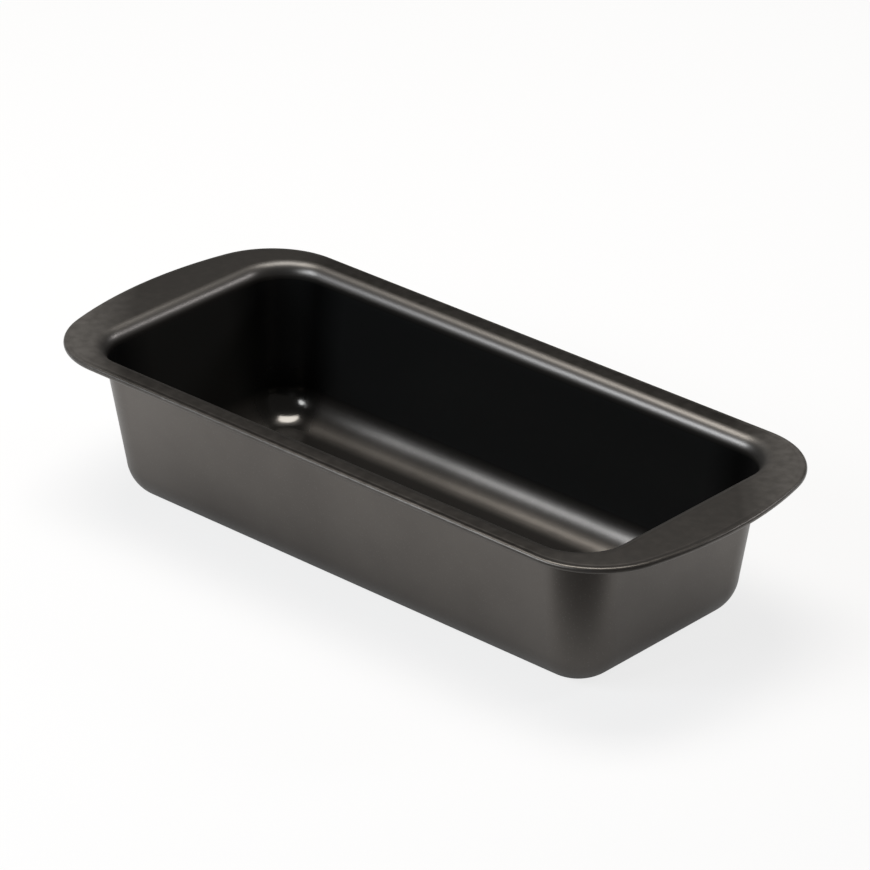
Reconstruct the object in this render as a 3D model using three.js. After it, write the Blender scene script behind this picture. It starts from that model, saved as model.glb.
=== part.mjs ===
// Loaf pan, drawn from one sheet of steel and coated on both faces.
// Millimetres, +Z up, +X along the pan, origin at the middle of the underside.
import * as THREE from "three";

// Sheet
const steelThickness = 0.6;
const coatThickness = 0.1;

// Inside of the pan, measured between the walls where they would meet the rim plane
const insideLength = 267.5;
const insideWidth = 115;
const insideDepth = 66.4;
const wallDraft = THREE.MathUtils.degToRad(6.4);
const floorFillet = 16;
const floorCorner = 2.6; // corner radius of the flat part of the floor
const rimFillet = 6;

// Flange, with its flat width from the rim fillet to the curled edge
const sideLedge = 5.9;
const endLedge = 19.1; // in the middle of an end, where the edge bows out furthest
const endBow = 14.8; // how far the end edge bows out over the full width
const flangeCorner = 36;

// Curled edge
const curlRadius = 1.25; // outside of the curl
const curlTurn = THREE.MathUtils.degToRad(240);

// Facets
const cornerSteps = 7;
const sideSteps = 4;
const endSteps = 4;
const filletSteps = 5;
const curlSteps = 7;

// Heights and half sizes that follow from the sizes above
const sheet = steelThickness + 2 * coatThickness;
const rimHeight = sheet + insideDepth;
const wallTilt = Math.PI / 2 - wallDraft; // from the floor's normal to the wall's
const floorReach = floorFillet * Math.tan(wallTilt / 2) + insideDepth * Math.tan(wallDraft);
const floorHalfLength = insideLength / 2 - floorReach;
const floorHalfWidth = insideWidth / 2 - floorReach;
const rimReach = rimFillet * Math.tan(wallTilt / 2);
const ledgeStart = floorReach + rimReach; // from the flat floor's edge out to the flat flange
const wallHeight = insideDepth - (floorFillet + rimFillet) * (1 - Math.cos(wallTilt));
const wallRun = wallHeight * Math.tan(wallDraft); // how far the wall leans out between its fillets
const edgeHalfLength = insideLength / 2 + rimReach + endLedge + curlRadius;
const edgeHalfWidth = insideWidth / 2 + rimReach + sideLedge + curlRadius;

function arc(centreX, centreY, radius, from, to) {
  return new THREE.EllipseCurve(centreX, centreY, radius, radius, from, to, false, 0);
}

function lineBetween(before, after) {
  return new THREE.LineCurve(before.getPoint(1), after.getPoint(0));
}

// Points of an outline, anticlockwise: corner, long side, corner, end, and the same again.
function outlinePoints(corners, leftEnd, rightEnd) {
  const [frontRight, frontLeft, backLeft, backRight] = corners;
  const stretches = [
    [frontRight, cornerSteps],
    [lineBetween(frontRight, frontLeft), sideSteps],
    [frontLeft, cornerSteps],
    [leftEnd, endSteps],
    [backLeft, cornerSteps],
    [lineBetween(backLeft, backRight), sideSteps],
    [backRight, cornerSteps],
    [rightEnd, endSteps],
  ];
  return stretches.flatMap(([curve, steps]) => curve.getPoints(steps).slice(0, -1));
}

// Round-cornered rectangle of the bowl, at a distance outside the flat floor's edge, with the centres
// of its corners shifted outwards.
function bowlOutline(offset, cornerShift) {
  const radius = floorCorner + offset - cornerShift;
  const x = floorHalfLength - floorCorner + cornerShift;
  const y = floorHalfWidth - floorCorner + cornerShift;
  const quarter = Math.PI / 2;
  const corners = [
    arc(x, y, radius, 0, quarter),
    arc(-x, y, radius, quarter, 2 * quarter),
    arc(-x, -y, radius, 2 * quarter, 3 * quarter),
    arc(x, -y, radius, 3 * quarter, 4 * quarter),
  ];
  return outlinePoints(corners, lineBetween(corners[1], corners[2]), lineBetween(corners[3], corners[0]));
}

// Flange edge with its bowed ends, at a distance outside it, or inside it where that is negative.
function edgeOutline(offset) {
  const bowRadius = (edgeHalfWidth ** 2 + endBow ** 2) / (2 * endBow);
  const bowCentre = edgeHalfLength - bowRadius;
  const y = edgeHalfWidth - flangeCorner;
  const x = bowCentre + Math.sqrt((bowRadius - flangeCorner) ** 2 - y ** 2);
  const bowAngle = Math.atan2(y, x - bowCentre);
  const radius = flangeCorner + offset;
  const half = Math.PI;
  const corners = [
    arc(x, y, radius, bowAngle, half / 2),
    arc(-x, y, radius, half / 2, half - bowAngle),
    arc(-x, -y, radius, half + bowAngle, 1.5 * half),
    arc(x, -y, radius, 1.5 * half, 2 * half - bowAngle),
  ];
  const leftEnd = arc(-bowCentre, 0, bowRadius + offset, half - bowAngle, half + bowAngle);
  const rightEnd = arc(bowCentre, 0, bowRadius + offset, -bowAngle, bowAngle);
  return outlinePoints(corners, leftEnd, rightEnd);
}

function ring(outline, height) {
  return outline.map((point) => new THREE.Vector3(point.x, point.y, height));
}

// Rings of one face of the sheet, from the floor to the cut edge, at a depth below the food side.
// The corners keep their radius up the wall, so their centres lean out with it.
function sheetRings(depth) {
  const rings = [];
  for (let step = 0; step <= filletSteps; step += 1) {
    const tilt = (wallTilt * step) / filletSteps;
    const radius = floorFillet + depth;
    const height = sheet + floorFillet - radius * Math.cos(tilt);
    rings.push(ring(bowlOutline(radius * Math.sin(tilt), 0), height));
  }
  for (let step = filletSteps; step >= 0; step -= 1) {
    const tilt = (wallTilt * step) / filletSteps;
    const radius = rimFillet - depth;
    const height = rimHeight - rimFillet + radius * Math.cos(tilt);
    rings.push(ring(bowlOutline(ledgeStart - radius * Math.sin(tilt), wallRun), height));
  }
  for (let step = 0; step <= curlSteps; step += 1) {
    const turn = (curlTurn * step) / curlSteps;
    const radius = curlRadius - depth;
    const height = rimHeight - curlRadius + radius * Math.cos(turn);
    rings.push(ring(edgeOutline(radius * Math.sin(turn) - curlRadius), height));
  }
  return rings;
}

// Closed layer of the sheet between two depths: its two faces, joined at the cut edge.
// Both faces are split along the same diagonals, so that neighbouring layers meet exactly.
function layerGeometry(upperDepth, lowerDepth) {
  const upper = sheetRings(upperDepth);
  const lower = sheetRings(lowerDepth).reverse();
  const around = upper[0].length;
  const upperMiddle = new THREE.Vector3(0, 0, sheet - upperDepth);
  const lowerMiddle = new THREE.Vector3(0, 0, sheet - lowerDepth);
  const rings = [...upper, ...lower];
  const points = [...rings.flat(), upperMiddle, lowerMiddle];
  const upperMiddleIndex = points.length - 2;
  const lowerMiddleIndex = points.length - 1;
  const lastRing = (rings.length - 1) * around;
  const triangles = [];
  for (let i = 0; i < around; i += 1) {
    const next = (i + 1) % around;
    triangles.push(upperMiddleIndex, i, next);
    for (let start = 0; start < lastRing; start += around) {
      const end = start + around;
      const onUpperFace = start < upper.length * around;
      const [tip, tail] = onUpperFace ? [end + next, start + i] : [start + next, end + i];
      triangles.push(start + i, end + i, tip, tail, end + next, start + next);
    }
    triangles.push(lowerMiddleIndex, lastRing + next, lastRing + i);
  }
  const geometry = new THREE.BufferGeometry().setFromPoints(points);
  geometry.setIndex(triangles);
  geometry.computeVertexNormals();
  return geometry;
}

function layer(name, upperDepth, lowerDepth, finish) {
  const mesh = new THREE.Mesh(layerGeometry(upperDepth, lowerDepth), new THREE.MeshStandardMaterial(finish));
  mesh.name = name;
  return mesh;
}

const steelTop = coatThickness;
const steelUnderside = coatThickness + steelThickness;
const pan = new THREE.Group();

// Release coat on the food side, over the flange and round the outside of the curl
pan.add(layer("inner_nonstick_coat", 0, steelTop, { color: 0x2b2826, roughness: 0.4, metalness: 0.1 }));

// Drawn steel sheet
pan.add(layer("steel_body", steelTop, steelUnderside, { color: 0xa3a09b, roughness: 0.45, metalness: 1 }));

// Heat-proof coat on the outside of the walls, the underside and the inside of the curl
pan.add(layer("outer_heat_coat", steelUnderside, sheet, { color: 0x4a4643, roughness: 0.5, metalness: 0.2 }));

export default pan;
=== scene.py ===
from math import atan2, cos, pi, radians, sin, sqrt, tan

import bmesh
import bpy
from mathutils import Matrix, Vector


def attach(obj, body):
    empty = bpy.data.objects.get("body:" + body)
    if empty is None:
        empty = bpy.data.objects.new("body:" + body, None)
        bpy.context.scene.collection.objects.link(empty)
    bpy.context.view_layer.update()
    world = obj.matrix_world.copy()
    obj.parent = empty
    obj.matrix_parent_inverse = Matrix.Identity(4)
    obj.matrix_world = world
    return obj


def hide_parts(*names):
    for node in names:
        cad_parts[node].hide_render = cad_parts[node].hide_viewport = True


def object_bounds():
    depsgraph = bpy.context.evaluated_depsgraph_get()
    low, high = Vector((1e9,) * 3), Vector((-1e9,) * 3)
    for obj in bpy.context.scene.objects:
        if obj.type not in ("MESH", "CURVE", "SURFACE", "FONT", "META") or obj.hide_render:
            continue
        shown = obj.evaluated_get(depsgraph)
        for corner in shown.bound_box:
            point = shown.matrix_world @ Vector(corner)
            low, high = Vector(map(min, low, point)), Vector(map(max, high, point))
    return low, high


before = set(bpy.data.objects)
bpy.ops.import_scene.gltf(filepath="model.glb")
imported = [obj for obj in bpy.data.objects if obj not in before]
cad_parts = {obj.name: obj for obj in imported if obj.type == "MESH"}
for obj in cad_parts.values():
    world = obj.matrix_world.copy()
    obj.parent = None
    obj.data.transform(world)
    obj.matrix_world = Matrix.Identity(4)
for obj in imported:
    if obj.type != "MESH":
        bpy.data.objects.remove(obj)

cad_low, cad_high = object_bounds()


# Drawn steel sheet
# One blank of thin mild steel, drawn into a long tapered bowl with round corners. Its flange is
# left flat, wide and bowed at the two ends, and the blank's cut edge is curled under all round.
edge_half_length = cad_high.x
edge_half_width = cad_high.y
rim_height = cad_high.z
coat_thickness = 0.0001
steel_thickness = 0.0006
sheet_thickness = steel_thickness + 2 * coat_thickness

wall_draft = radians(6.4)
wall_tilt = pi / 2 - wall_draft
floor_fillet = 0.016
floor_corner = 0.0026
rim_fillet = 0.006
side_ledge = 0.0059
end_ledge = 0.0191
end_bow = 0.0148
flange_corner = 0.036
curl_radius = 0.00125
curl_turn = radians(240)
crease_width = 0.0024  # shallow crease that the curling wheel leaves beside the curl
crease_depth = 0.00012

fillet_steps = 20
curl_steps = 24
crease_steps = 8
corner_steps = 24
side_steps = 8
end_steps = 12
flat_hem = 0.0006  # narrow flat strip beside each bend, which keeps the flats flat
merge_distance = 2e-6
sharp_angle = radians(40)

ledge_start = rim_fillet * tan(wall_tilt / 2)
inside_half_length = edge_half_length - curl_radius - end_ledge - ledge_start
inside_half_width = edge_half_width - curl_radius - side_ledge - ledge_start
inside_depth = rim_height - sheet_thickness
floor_reach = floor_fillet * tan(wall_tilt / 2) + inside_depth * tan(wall_draft)
floor_half_length = inside_half_length - floor_reach
floor_half_width = inside_half_width - floor_reach
wall_height = inside_depth - (floor_fillet + rim_fillet) * (1 - cos(wall_tilt))
wall_run = wall_height * tan(wall_draft)  # how far the wall, and the centre of its corners, leans out
wall_hem = flat_hem * cos(wall_draft)
bow_radius = (edge_half_width ** 2 + end_bow ** 2) / (2 * end_bow)
bow_centre = edge_half_length - bow_radius
flange_corner_y = edge_half_width - flange_corner
flange_corner_x = bow_centre + sqrt((bow_radius - flange_corner) ** 2 - flange_corner_y ** 2)
bow_angle = atan2(flange_corner_y, flange_corner_x - bow_centre)

along_x, along_y, along_z = Vector((1, 0, 0)), Vector((0, 1, 0)), Vector((0, 0, 1))


def turn(bm, end, centre, axis, angle, steps):
    """Sweeps the open end of a profile or of a strip round an axis, and returns its new end."""
    return bmesh.ops.spin(bm, geom=end, cent=centre, axis=axis, angle=angle, steps=steps)["geom_last"]


def draw_out(bm, end, way, steps):
    """Sweeps the open end of a profile or of a strip straight, and returns its new end."""
    return bmesh.ops.spin(bm, geom=end, axis=along_z, dvec=way / steps, angle=0, steps=steps)["geom_last"]


def profile_edges(bm, known):
    return [edge for edge in bm.edges if edge not in known]


def sweep_round(bm, strip, corner):
    """Sweeps a bowl profile along half an end, round a corner and along half a side."""
    strip = draw_out(bm, strip, along_y * (corner.y - flat_hem), end_steps - 1)
    strip = draw_out(bm, strip, along_y * flat_hem, 1)
    strip = turn(bm, strip, corner, along_z, pi / 2, corner_steps)
    strip = draw_out(bm, strip, -along_x * flat_hem, 1)
    draw_out(bm, strip, -along_x * (corner.x - flat_hem), side_steps - 1)


def draw_bowl(bm, depth):
    """Quarter of the bowl's face at a depth below the food side, with its wall still open."""
    up_wall = Vector((sin(wall_draft), 0, cos(wall_draft)))
    floor_bend = Vector((floor_half_length, 0, sheet_thickness + floor_fillet))
    rim_bend = Vector((inside_half_length + ledge_start, 0, rim_height - rim_fillet))
    corner = Vector((floor_half_length - floor_corner, floor_half_width - floor_corner, 0))
    known = set(bm.edges)
    end = [bm.verts.new((floor_half_length, 0, sheet_thickness - depth))]
    end = turn(bm, end, floor_bend, -along_y, wall_tilt, fillet_steps)
    draw_out(bm, end, up_wall * flat_hem, 1)
    sweep_round(bm, profile_edges(bm, known), corner)
    known = set(bm.edges)
    end = [bm.verts.new((rim_bend.x, 0, rim_height - depth))]
    draw_out(bm, end, along_x * flat_hem, 1)
    end = turn(bm, end, rim_bend, -along_y, wall_tilt, fillet_steps)
    draw_out(bm, end, -up_wall * flat_hem, 1)
    sweep_round(bm, profile_edges(bm, known), corner + Vector((wall_run, wall_run, 0)))


def draw_curl(bm, depth):
    """Quarter of the curled edge's face at a depth below the food side, with the crease beside it."""
    crease = bm.verts.layers.float["crease"]
    known = set(bm.edges)
    crease_start = Vector((edge_half_length - curl_radius - crease_width, 0, rim_height - depth))
    curl_middle = Vector((edge_half_length - curl_radius, 0, rim_height - curl_radius))
    end = [bm.verts.new(crease_start)]
    for step in range(crease_steps):
        before = cos(2 * pi * step / crease_steps)
        after = cos(2 * pi * (step + 1) / crease_steps)
        way = Vector((crease_width / crease_steps, 0, (after - before) * crease_depth / 2))
        end = draw_out(bm, end, way, 1)
        end[0][crease] = (1 - after) / 2
    turn(bm, end, curl_middle, along_y, curl_turn, curl_steps)
    corner = Vector((flange_corner_x, flange_corner_y, 0))
    strip = profile_edges(bm, known)
    strip = turn(bm, strip, along_x * bow_centre, along_z, bow_angle, end_steps)
    strip = turn(bm, strip, corner, along_z, pi / 2 - bow_angle, corner_steps)
    draw_out(bm, strip, -along_x * corner.x, side_steps)


def open_edges(bm, *heights):
    """Edges of the holes that still lie open at these heights."""
    return [
        edge for edge in bm.edges
        if edge.is_boundary
        and any(all(abs(vert.co.z - height) < merge_distance for vert in edge.verts) for height in heights)
    ]


def sheet_layer(name, upper_depth, lower_depth):
    """Closed layer of the sheet between two depths below the food side, as an object."""
    bm = bmesh.new()
    bm.verts.layers.float.new("crease")
    for depth in (upper_depth, lower_depth):
        draw_bowl(bm, depth)
        draw_curl(bm, depth)
    for axis in ("X", "Y"):
        everything = bm.verts[:] + bm.edges[:] + bm.faces[:]
        bmesh.ops.mirror(bm, geom=everything, axis=axis, merge_dist=merge_distance)
    bmesh.ops.remove_doubles(bm, verts=bm.verts[:], dist=merge_distance)
    for depth in (upper_depth, lower_depth):
        wall_low = sheet_thickness + floor_fillet - (floor_fillet + depth) * cos(wall_tilt) + wall_hem
        wall_high = rim_height - rim_fillet + (rim_fillet - depth) * cos(wall_tilt) - wall_hem
        bmesh.ops.bridge_loops(bm, edges=open_edges(bm, wall_low, wall_high))
        bmesh.ops.bridge_loops(bm, edges=open_edges(bm, rim_height - depth))
        floor = bmesh.ops.edgeloop_fill(bm, edges=open_edges(bm, sheet_thickness - depth))["faces"]
        bmesh.ops.inset_individual(bm, faces=floor, thickness=flat_hem)
    cut_edges = [edge for edge in bm.edges if edge.is_boundary]
    bmesh.ops.bridge_loops(bm, edges=cut_edges)
    bmesh.ops.recalc_face_normals(bm, faces=bm.faces[:])
    mesh = bpy.data.meshes.new(name)
    bm.to_mesh(mesh)
    bm.free()
    mesh.shade_smooth()
    mesh.set_sharp_from_angle(angle=sharp_angle)
    piece = bpy.data.objects.new(name, mesh)
    bpy.context.scene.collection.objects.link(piece)
    return piece


class Finish:
    """Node material on one Principled shader, patterned in the piece's own coordinates."""

    def __init__(self, name):
        self.material = bpy.data.materials.new(name)
        self.material.use_nodes = True
        self.tree = self.material.node_tree
        self.shader = self.tree.nodes["Principled BSDF"]
        self.place = self.tree.nodes.new("ShaderNodeTexCoord").outputs["Object"]

    def set(self, **values):
        for socket, value in values.items():
            self.shader.inputs[socket.replace("_", " ")].default_value = value

    def link(self, output, socket):
        self.tree.links.new(output, self.shader.inputs[socket])

    def position(self):
        """Place along the piece, across it and up it."""
        split = self.tree.nodes.new("ShaderNodeSeparateXYZ")
        self.tree.links.new(self.place, split.inputs["Vector"])
        return split.outputs

    def attribute(self, name):
        node = self.tree.nodes.new("ShaderNodeAttribute")
        node.attribute_name = name
        return node.outputs["Fac"]

    def noise(self, grain, detail=2.0, stretch=(1, 1, 1)):
        """Noise whose grains are about that many metres across."""
        mapping = self.tree.nodes.new("ShaderNodeMapping")
        mapping.inputs["Scale"].default_value = [share / grain for share in stretch]
        texture = self.tree.nodes.new("ShaderNodeTexNoise")
        texture.inputs["Scale"].default_value = 1.0
        texture.inputs["Detail"].default_value = detail
        self.tree.links.new(self.place, mapping.inputs["Vector"])
        self.tree.links.new(mapping.outputs["Vector"], texture.inputs["Vector"])
        return texture.outputs["Fac"]

    def flecks(self, spacing, share):
        """Small dots, one to a cell of that spacing, of which only a share of the cells has one."""
        mapping = self.tree.nodes.new("ShaderNodeMapping")
        mapping.inputs["Scale"].default_value = [1 / spacing] * 3
        cells = self.tree.nodes.new("ShaderNodeTexVoronoi")
        cells.inputs["Scale"].default_value = 1.0
        self.tree.links.new(self.place, mapping.inputs["Vector"])
        self.tree.links.new(mapping.outputs["Vector"], cells.inputs["Vector"])
        chosen = self.math("LESS_THAN", self.red_of(cells.outputs["Color"]), share)
        dot_edge = (0.12, 0.3)  # from the middle of a dot, in cells
        near = self.span(cells.outputs["Distance"], dot_edge, (1.0, 0.0))
        return self.times(chosen, near)

    def red_of(self, colour):
        split = self.tree.nodes.new("ShaderNodeSeparateColor")
        self.tree.links.new(colour, split.inputs["Color"])
        return split.outputs["Red"]

    def math(self, operation, first, second=0.0):
        node = self.tree.nodes.new("ShaderNodeMath")
        node.operation = operation
        for socket, value in zip(node.inputs, (first, second)):
            if isinstance(value, float):
                socket.default_value = value
            else:
                self.tree.links.new(value, socket)
        return node.outputs["Value"]

    def times(self, first, *others):
        """Product of sockets and numbers."""
        product = first
        for other in others:
            product = self.math("MULTIPLY", product, other)
        return product

    def span(self, value, stretch, numbers=(0.0, 1.0)):
        """Carries a stretch of values over to a stretch of numbers, or else to a share from 0 to 1."""
        node = self.tree.nodes.new("ShaderNodeMapRange")
        sockets = ("From Min", "From Max", "To Min", "To Max")
        for socket, number in zip(sockets, (*stretch, *numbers)):
            node.inputs[socket].default_value = number
        self.tree.links.new(value, node.inputs["Value"])
        return node.outputs["Result"]

    def ramp(self, value, *stops):
        """Carries a value over to a number, by straight stretches between pairs of value and number."""
        low, high = stops[0][0], stops[-1][0]
        node = self.tree.nodes.new("ShaderNodeValToRGB")
        points = node.color_ramp.elements
        while len(points) < len(stops):
            points.new(1.0)
        for point, (place, number) in zip(points, stops):
            point.position = (place - low) / (high - low)
            point.color = (number, number, number, 1)
        self.tree.links.new(self.span(value, (low, high)), node.inputs["Fac"])
        return self.red_of(node.outputs["Color"])

    def blend(self, share, first, second):
        """Colour between two colours, which are triples or sockets."""
        node = self.tree.nodes.new("ShaderNodeMix")
        node.data_type = "RGBA"
        self.tree.links.new(share, node.inputs["Factor"])
        for socket, colour in zip(("A", "B"), (first, second)):
            target = next(s for s in node.inputs if s.name == socket and s.type == "RGBA")
            if isinstance(colour, tuple):
                target.default_value = (*colour, 1)
            else:
                self.tree.links.new(colour, target)
        return next(s for s in node.outputs if s.type == "RGBA")

    def bump(self, height, depth, under=None):
        """Relief of that many metres, on top of another relief."""
        node = self.tree.nodes.new("ShaderNodeBump")
        node.inputs["Strength"].default_value = 1.0
        node.inputs["Distance"].default_value = depth
        self.tree.links.new(height, node.inputs["Height"])
        if under is not None:
            self.tree.links.new(under, node.inputs["Normal"])
        return node.outputs["Normal"]


steel_light, steel_dark = (0.42, 0.41, 0.39), (0.30, 0.29, 0.28)
rolling_grain = 0.0004
rolling_stretch = (0.05, 1, 1)  # the marks run along the pan
rolling_depth = 0.000004
steel_roughness = (0.32, 0.48)
noise_middle = (0.3, 0.7)  # stretch in which nearly all of a noise lies

bare_steel = Finish("bare_steel")
rolling_marks = bare_steel.noise(rolling_grain, detail=4.0, stretch=rolling_stretch)
bare_steel.link(bare_steel.blend(rolling_marks, steel_dark, steel_light), "Base Color")
bare_steel.link(bare_steel.span(rolling_marks, noise_middle, steel_roughness), "Roughness")
bare_steel.link(bare_steel.bump(rolling_marks, rolling_depth), "Normal")
bare_steel.set(Metallic=1.0)

steel = sheet_layer("drawn_steel", coat_thickness, coat_thickness + steel_thickness)
steel.data.materials.append(bare_steel.material)
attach(steel, "root")
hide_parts("steel_body")


# Release coat
# Black-brown release coat, sprayed and baked over the food side, the flange and the outside of the curl.
# The satin film is darker and duller on the flats and glossier in the floor corners. Painted highlight
# lightens the rim bend, painted light lightens the two flange tips, and painted shade darkens the walls,
# the bowl's corners and the crease.
coat_dark, coat_light = (0.112, 0.105, 0.097), (0.138, 0.129, 0.119)
mottle_tone = (0.090, 0.083, 0.075)
crease_shade_tone = (0.015, 0.0145, 0.014)
fleck_tone = (0.19, 0.18, 0.17)
bend_highlight_tone = (0.172, 0.164, 0.154)
rim_corner_shade_tone, floor_corner_shade_tone = (0.070, 0.068, 0.065), (0.088, 0.0857, 0.0817)
side_wall_shade_tone, end_wall_shade_tone = (0.010, 0.0105, 0.0105), (0.030, 0.030, 0.028)
wall_corner_shade_tone = (0.007, 0.007, 0.007)
floor_tone = (0.030, 0.0280, 0.0258)
flange_light, flange_dark = (0.046, 0.0427, 0.0393), (0.020, 0.0185, 0.0170)
tip_light_tone = (0.095, 0.089, 0.082)

cloud_grain, mottle_grain, spray_grain, crease_shade_grain = 0.035, 0.004, 0.0008, 0.007
fleck_spacing, flecked_cells = 0.0012, 0.35
cloud_depth, spray_depth = 0.00003, 0.0000012
noise_core = (0.35, 0.65)  # stretch in which most of a noise lies
crease_shade_core = (0.42, 0.60)

# places where one part of the film gives way to the next: heights, then half lengths and half widths
flange_heights = (rim_height - 0.002, rim_height - 0.0005)
flat_flange_heights = (rim_height - 0.00012, rim_height - 0.00002)
floor_edge_heights = (sheet_thickness + 0.0001, sheet_thickness + 0.0006)
floor_corner_heights = (0.010, 0.028)
wall_foot, wall_full = 0.010, 0.015
wall_high, wall_top = rim_height - 1.15 * rim_fillet, rim_height - 0.75 * rim_fillet
bend_foot, bend_full = rim_height - 0.85 * rim_fillet, rim_height - 0.65 * rim_fillet
bend_high = rim_height - 0.06 * rim_fillet
bend_length = inside_half_length + ledge_start
bend_width = inside_half_width + ledge_start
bend_margin = 0.002
end_walls = (0.112, 0.128)
floor_corner_ends, floor_corner_sides = (0.104, 0.115), (0.028, 0.040)
rim_corner_ends, rim_corner_sides = (0.114, 0.126), (0.038, 0.050)
wall_corner_ends, wall_corner_sides = (0.098, 0.114), (0.022, 0.040)
tip_along, tip_across = 0.74, 0.68  # way from the middle to the two flange tips, where light is painted on
tip_stretch = (0.119, 0.140)
crease_foot, crease_core = (0.0, 0.1), (0.55, 1.0)

# how strongly each part of the film shows
mottle_strengths = (0.2, 0.7)  # in the bowl and on the flange
crease_shade_strengths = (0.25, 0.9)
fleck_strength = 0.25
rim_corner_shade_strength = 0.85
floor_strength = 0.85
flange_strength = 0.7
tip_strength = 0.8

release_coat = Finish("release_coat")
along, across, height = release_coat.position()
from_middle = release_coat.math("ABSOLUTE", along)
from_axis = release_coat.math("ABSOLUTE", across)
crease = release_coat.attribute("crease")
on_flange = release_coat.span(height, flange_heights)
at_rim = release_coat.span(height, flat_flange_heights)
on_flat_flange = release_coat.math("MAXIMUM", at_rim, release_coat.span(crease, crease_foot))
off_floor = release_coat.span(height, floor_edge_heights)
on_floor = release_coat.math("SUBTRACT", 1.0, off_floor)
low_down = release_coat.span(height, floor_corner_heights, (1.0, 0.0))
inside_ends = release_coat.span(from_middle, (bend_length, bend_length + bend_margin), (1.0, 0.0))
inside_sides = release_coat.span(from_axis, (bend_width, bend_width + bend_margin), (1.0, 0.0))
in_bowl = release_coat.times(inside_ends, inside_sides)
up_bend = release_coat.ramp(
    height,
    (bend_foot, 0.0),
    (bend_full, 1.0),
    (bend_high, 1.0),
    (rim_height, 0.0),
)
up_wall = release_coat.ramp(
    height,
    (wall_foot, 0.0),
    (wall_full, 1.0),
    (wall_high, 1.0),
    (wall_top, 0.0),
)


def corner_share(end_stretch, side_stretch):
    """Share that rises from 0 to 1 towards the corners of the bowl."""
    by_end = release_coat.span(from_middle, end_stretch)
    by_side = release_coat.span(from_axis, side_stretch)
    return release_coat.times(by_end, by_side)


floor_corners = release_coat.times(corner_share(floor_corner_ends, floor_corner_sides), in_bowl, low_down)
rim_corners = release_coat.times(corner_share(rim_corner_ends, rim_corner_sides), in_bowl, up_bend)
wall_corners = release_coat.times(corner_share(wall_corner_ends, wall_corner_sides), up_wall)
diagonal = release_coat.math(
    "ADD", release_coat.times(along, tip_along), release_coat.times(across, tip_across)
)
towards_tips = release_coat.math("ABSOLUTE", diagonal)

clouding = release_coat.noise(cloud_grain, detail=1.0)
spraying = release_coat.noise(spray_grain, detail=2.0)
mottling = release_coat.noise(mottle_grain, detail=4.0)
crease_shade_noise = release_coat.noise(crease_shade_grain, detail=3.0)
mineral = release_coat.flecks(fleck_spacing, flecked_cells)
mottled = release_coat.span(mottling, noise_core)
mottle_strength = release_coat.span(on_flange, (0.0, 1.0), mottle_strengths)
crease_shade_share = release_coat.span(crease_shade_noise, crease_shade_core, crease_shade_strengths)
in_crease = release_coat.span(crease, crease_core)
film = release_coat.blend(release_coat.span(clouding, noise_core), coat_dark, coat_light)
film = release_coat.blend(release_coat.times(mottled, mottle_strength), film, mottle_tone)
# painted shade: the crease beside the curl is darkened, broken up by a noise
film = release_coat.blend(release_coat.times(in_crease, crease_shade_share), film, crease_shade_tone)
film = release_coat.blend(release_coat.times(mineral, fleck_strength), film, fleck_tone)
# painted highlight: the rim bend is lightened so its highlight lines show brighter
film = release_coat.blend(release_coat.times(in_bowl, up_bend), film, bend_highlight_tone)
# painted shade: the rim bend is darkened at the bowl's corners, which dims its highlight there
film = release_coat.blend(release_coat.times(rim_corners, rim_corner_shade_strength), film, rim_corner_shade_tone)
# painted shade: the low corners of the bowl are darkened; they are also glossier, set in the roughness
# below
film = release_coat.blend(floor_corners, film, floor_corner_shade_tone)
# painted shade: the walls inside the bowl are darkened, the side walls most and their upright corners
# darkest
wall_film = release_coat.blend(release_coat.span(from_middle, end_walls), side_wall_shade_tone, end_wall_shade_tone)
wall_film = release_coat.blend(wall_corners, wall_film, wall_corner_shade_tone)
film = release_coat.blend(up_wall, film, wall_film)
film = release_coat.blend(release_coat.times(on_floor, floor_strength), film, floor_tone)
flange_tone = release_coat.blend(mottled, flange_light, flange_dark)
film = release_coat.blend(release_coat.times(on_flat_flange, flange_strength), film, flange_tone)
# painted light: the film is lightened towards the two flange tips
lit_tips = release_coat.times(release_coat.span(towards_tips, tip_stretch, (0.0, tip_strength)), on_flange)
film = release_coat.blend(lit_tips, film, tip_light_tone)
release_coat.link(film, "Base Color")

# matt part of the film, while the rest of it mirrors as a metal of the same tone does
side_matt, end_matt, least_matt = 0.0068, 0.024, 0.005
tip_matt_low, tip_matt_high = -0.005, 0.052
mottle_matt = (1.15, 0.6)
wall_corner_matt, floor_corner_matt = 0.22, 0.35
matt = release_coat.span(from_middle, end_walls, (side_matt, end_matt))
# painted light: more matt towards the flange tips lightens them further
matt_tips = release_coat.span(towards_tips, tip_stretch, (tip_matt_low, tip_matt_high))
matt_tips = release_coat.times(matt_tips, release_coat.span(mottling, noise_core, mottle_matt), on_flange)
matt = release_coat.math("MAXIMUM", release_coat.math("ADD", matt, matt_tips), least_matt)
# painted shade: less matt in the wall and floor corners darkens them further
wall_share = release_coat.span(wall_corners, (0.0, 1.0), (1.0, wall_corner_matt))
floor_share = release_coat.span(floor_corners, (0.0, 1.0), (1.0, floor_corner_matt))
matt = release_coat.times(matt, wall_share, floor_share)
matt_share = release_coat.math("DIVIDE", matt, release_coat.red_of(film))
release_coat.link(release_coat.math("SUBTRACT", 1.0, matt_share), "Metallic")

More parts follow.
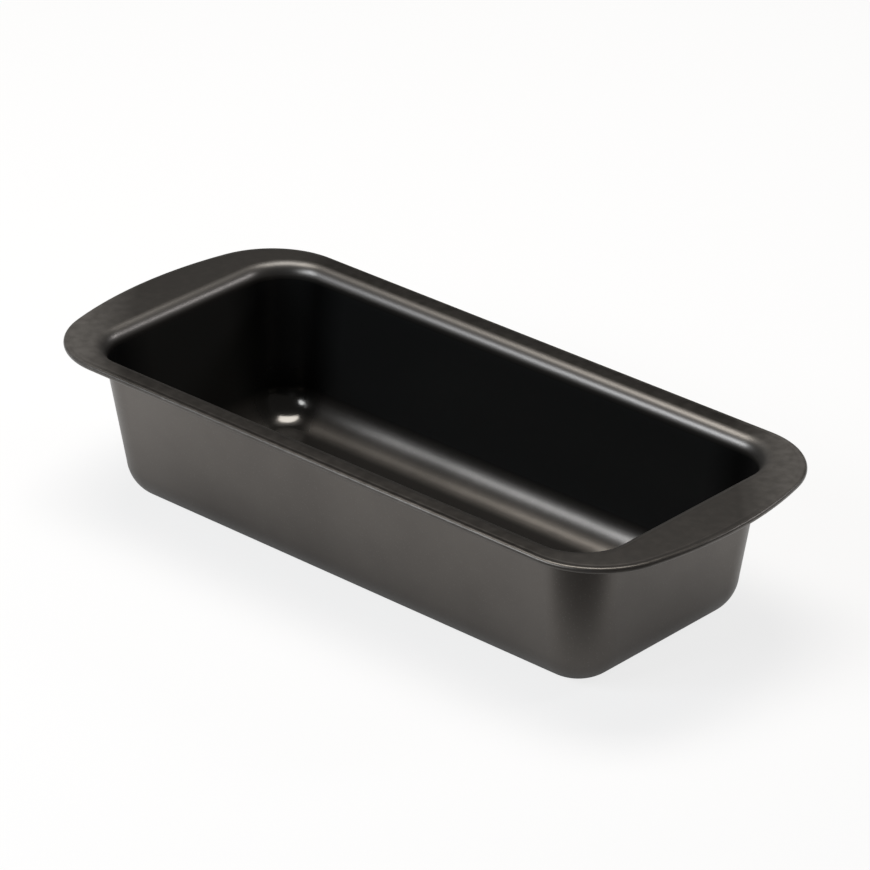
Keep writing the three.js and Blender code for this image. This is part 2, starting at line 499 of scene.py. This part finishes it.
# roughness by height, duller on the flange and glossier in the corners of the floor
floor_roughness, foot_roughness, wall_roughness, bend_roughness = 0.35, 0.275, 0.32, 0.365
flange_dulling, pool_gloss, grain_dulling = 0.072, 0.165, 0.004
foot_end = 0.004
dull_wall, dull_bend = rim_height - 1.6 * rim_fillet, rim_height - 0.9 * rim_fillet
roughness = release_coat.ramp(
    height,
    (sheet_thickness, floor_roughness),
    (floor_edge_heights[1], foot_roughness),
    (foot_end, wall_roughness),
    (dull_wall, wall_roughness),
    (dull_bend, bend_roughness),
    (rim_height, bend_roughness),
)
roughness = release_coat.math("ADD", roughness, release_coat.times(on_flat_flange, flange_dulling))
glossed = release_coat.times(floor_corners, off_floor, pool_gloss)
roughness = release_coat.math("SUBTRACT", roughness, glossed)
grained = release_coat.span(spraying, noise_middle, (-grain_dulling, grain_dulling))
release_coat.link(release_coat.math("ADD", roughness, grained), "Roughness")
settling = release_coat.bump(clouding, cloud_depth)
release_coat.link(release_coat.bump(spraying, spray_depth, settling), "Normal")

food_side = sheet_layer("release_coat_film", 0, coat_thickness)
food_side.data.materials.append(release_coat.material)
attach(food_side, "root")
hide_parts("inner_nonstick_coat")


# Heat-proof coat
# Warm dark-grey heat-proof enamel, sprayed and baked on the outside of the walls, the underside
# and the inside of the curl. It dries to an even satin with a faint grain; painted light makes it lighter
# at the walls' ends.
enamel_dark, enamel_light = (0.114, 0.105, 0.097), (0.134, 0.124, 0.114)
pigment_tone = (0.18, 0.17, 0.16)
wall_end_light_tone = (0.180, 0.168, 0.156)
enamel_cloud_grain, enamel_spray_grain = 0.045, 0.0008
pigment_spacing, pigmented_cells, pigment_strength = 0.0011, 0.4, 0.5
wall_end_strength = 0.4
wall_middle, wall_end_from, wall_end_to, wall_bend = 0.070, 0.104, 0.111, 0.118
flow_depth, enamel_depth = 0.00004, 0.000006
enamel_roughness = (0.31, 0.38)

heat_coat = Finish("heat_coat")
enamel_cloud = heat_coat.noise(enamel_cloud_grain, detail=3.0)
enamel_grain = heat_coat.noise(enamel_spray_grain, detail=3.0)
pigment = heat_coat.flecks(pigment_spacing, pigmented_cells)
wall_ends = heat_coat.ramp(
    heat_coat.math("ABSOLUTE", heat_coat.position()["X"]),
    (0.0, 0.0),
    (wall_middle, 0.0),
    (wall_end_from, 1.0),
    (wall_end_to, 1.0),
    (wall_bend, 0.0),
    (edge_half_length, 0.0),
)
enamel = heat_coat.blend(heat_coat.span(enamel_cloud, noise_core), enamel_dark, enamel_light)
enamel = heat_coat.blend(heat_coat.times(pigment, pigment_strength), enamel, pigment_tone)
# painted light: lighter bands on the walls' ends, beside the outer corners
enamel = heat_coat.blend(heat_coat.times(wall_ends, wall_end_strength), enamel, wall_end_light_tone)
heat_coat.link(enamel, "Base Color")
heat_coat.link(heat_coat.span(enamel_grain, noise_middle, enamel_roughness), "Roughness")
enamel_flow = heat_coat.bump(enamel_cloud, flow_depth)
heat_coat.link(heat_coat.bump(enamel_grain, enamel_depth, enamel_flow), "Normal")
heat_coat.set(Metallic=1.0)

outside = sheet_layer("heat_coat_film", coat_thickness + steel_thickness, sheet_thickness)
outside.data.materials.append(heat_coat.material)
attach(outside, "root")
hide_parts("outer_heat_coat")


# Studio floor
# Plain white table top that the pan stands on, wide enough to fill every view. What the pan mirrors
# of it is white behind and beside the pan; painted shade makes it go dark in front of it and close under
# its walls.
floor_radius = 6.0
floor_segments = 96
front_turn = radians(42.56)  # from -Y round to the front of the studio, where the camera stands
table_tone = (0.9, 0.9, 0.9, 1)
table_roughness, table_gloss = 0.9, 0.1
camera_share, mirror_share = 0.8, 0.8
white_back, white_front, dark_front, dark_end = -0.15, 0.131, 0.168, 0.60  # places towards the front
front_white = 0.96
shade_reach, shade_samples = 0.09, 4

floor_bm = bmesh.new()
bmesh.ops.create_circle(floor_bm, cap_ends=True, segments=floor_segments, radius=floor_radius)
floor_mesh = bpy.data.meshes.new("studio_floor")
floor_bm.to_mesh(floor_mesh)
floor_bm.free()
studio_floor = bpy.data.objects.new("studio_floor", floor_mesh)
bpy.context.scene.collection.objects.link(studio_floor)

table_white = Finish("table_white")
table_white.set(Base_Color=table_tone, Roughness=table_roughness, Specular_IOR_Level=table_gloss)
nodes, links = table_white.tree.nodes, table_white.tree.links
table_place = table_white.position()
to_front = table_white.math(
    "ADD",
    table_white.times(table_place["X"], sin(front_turn)),
    table_white.times(table_place["Y"], -cos(front_turn)),
)
# painted shade: the glow seen in mirrors fades out in front of the pan and is darkened by occlusion under
# its walls
front_shade_fade = table_white.ramp(
    to_front, (white_back, 1.0), (white_front, front_white), (dark_front, 0.0), (dark_end, 0.0)
)
openness = nodes.new("ShaderNodeAmbientOcclusion")
openness.samples = shade_samples
openness.inputs["Distance"].default_value = shade_reach
mirrored_white = table_white.times(front_shade_fade, openness.outputs["AO"])
rays = nodes.new("ShaderNodeLightPath")
by_camera = rays.outputs["Is Camera Ray"]
by_mirrors = table_white.math("MAXIMUM", rays.outputs["Is Glossy Ray"], rays.outputs["Is Transmission Ray"])
glow = nodes.new("ShaderNodeEmission")
links.new(table_white.math("MAXIMUM", by_camera, mirrored_white), glow.inputs["Strength"])
glow_share = table_white.math(
    "MAXIMUM", table_white.times(by_camera, camera_share), table_white.times(by_mirrors, mirror_share)
)
shown = nodes.new("ShaderNodeMixShader")
links.new(glow_share, shown.inputs["Fac"])
links.new(table_white.shader.outputs["BSDF"], shown.inputs[1])
links.new(glow.outputs["Emission"], shown.inputs[2])
links.new(shown.outputs["Shader"], nodes["Material Output"].inputs["Surface"])
floor_mesh.materials.append(table_white.material)


# Studio light
# A wide soft box hangs over the pan, two round lamps stand in front of it on the left and one
# behind it on the right, and the room around them is dim.
def lamp(name, place, size, colour, power):
    """Area lamp that faces the pan, round where it has one size and square-cornered where it has two."""
    data = bpy.data.lights.new(name, "AREA")
    data.shape = "DISK" if len(size) == 1 else "RECTANGLE"
    data.size = size[0]
    data.size_y = size[-1]
    data.color = colour
    data.energy = power
    holder = bpy.data.objects.new(name, data)
    holder.location = place
    holder.rotation_mode = "QUATERNION"
    holder.rotation_quaternion = Vector(place).to_track_quat("Z", "Y")
    holder.visible_camera = False
    bpy.context.scene.collection.objects.link(holder)
    return holder


soft_box = lamp(
    "soft_box", place=(-0.312, 0.13, 1.50), size=(1.05, 0.705), colour=(1.0, 0.96, 0.91), power=20.3
)
soft_box.rotation_quaternion = Matrix.Rotation(front_turn, 4, "Z").to_quaternion()
lamp("left_front_lamp", place=(-0.618, -1.024, 0.77), size=(0.494,), colour=(0.88, 0.93, 1.0), power=5.95)
lamp("front_lamp", place=(-0.151, -1.265, 0.792), size=(0.45,), colour=(0.93, 0.96, 1.0), power=3.85)
lamp("back_lamp", place=(0.880, 1.409, 0.964), size=(0.4715,), colour=(0.98, 0.97, 1.0), power=4.33)

room_tone, room_strength = (1.0, 0.97, 0.94, 1), 0.06
room = bpy.data.worlds.new("dim_room")
room.use_nodes = True
room_light = room.node_tree.nodes["Background"].inputs
room_light["Color"].default_value = room_tone
room_light["Strength"].default_value = room_strength
bpy.context.scene.world = room


# Camera
# Long lens, a little above the pan, on the side of its front right corner.
camera_rise = radians(26.95)
camera_distance = 2.0276
picture_middle = Vector((-0.0203, 0.0273, 0.0336))
photo_width = 870
focal_pixels = 5024.3
sensor_width = 36.0
camera_data = bpy.data.cameras.new("camera")
camera_data.sensor_width = sensor_width
camera_data.lens = focal_pixels * sensor_width / photo_width
camera = bpy.data.objects.new("camera", camera_data)
towards_camera = Vector((
    sin(front_turn) * cos(camera_rise),
    -cos(front_turn) * cos(camera_rise),
    sin(camera_rise),
))
camera.location = picture_middle + towards_camera * camera_distance
camera.rotation_mode = "QUATERNION"
camera.rotation_quaternion = towards_camera.to_track_quat("Z", "Y")
bpy.context.scene.collection.objects.link(camera)
bpy.context.scene.camera = camera
bpy.context.scene.view_settings.view_transform = "Standard"
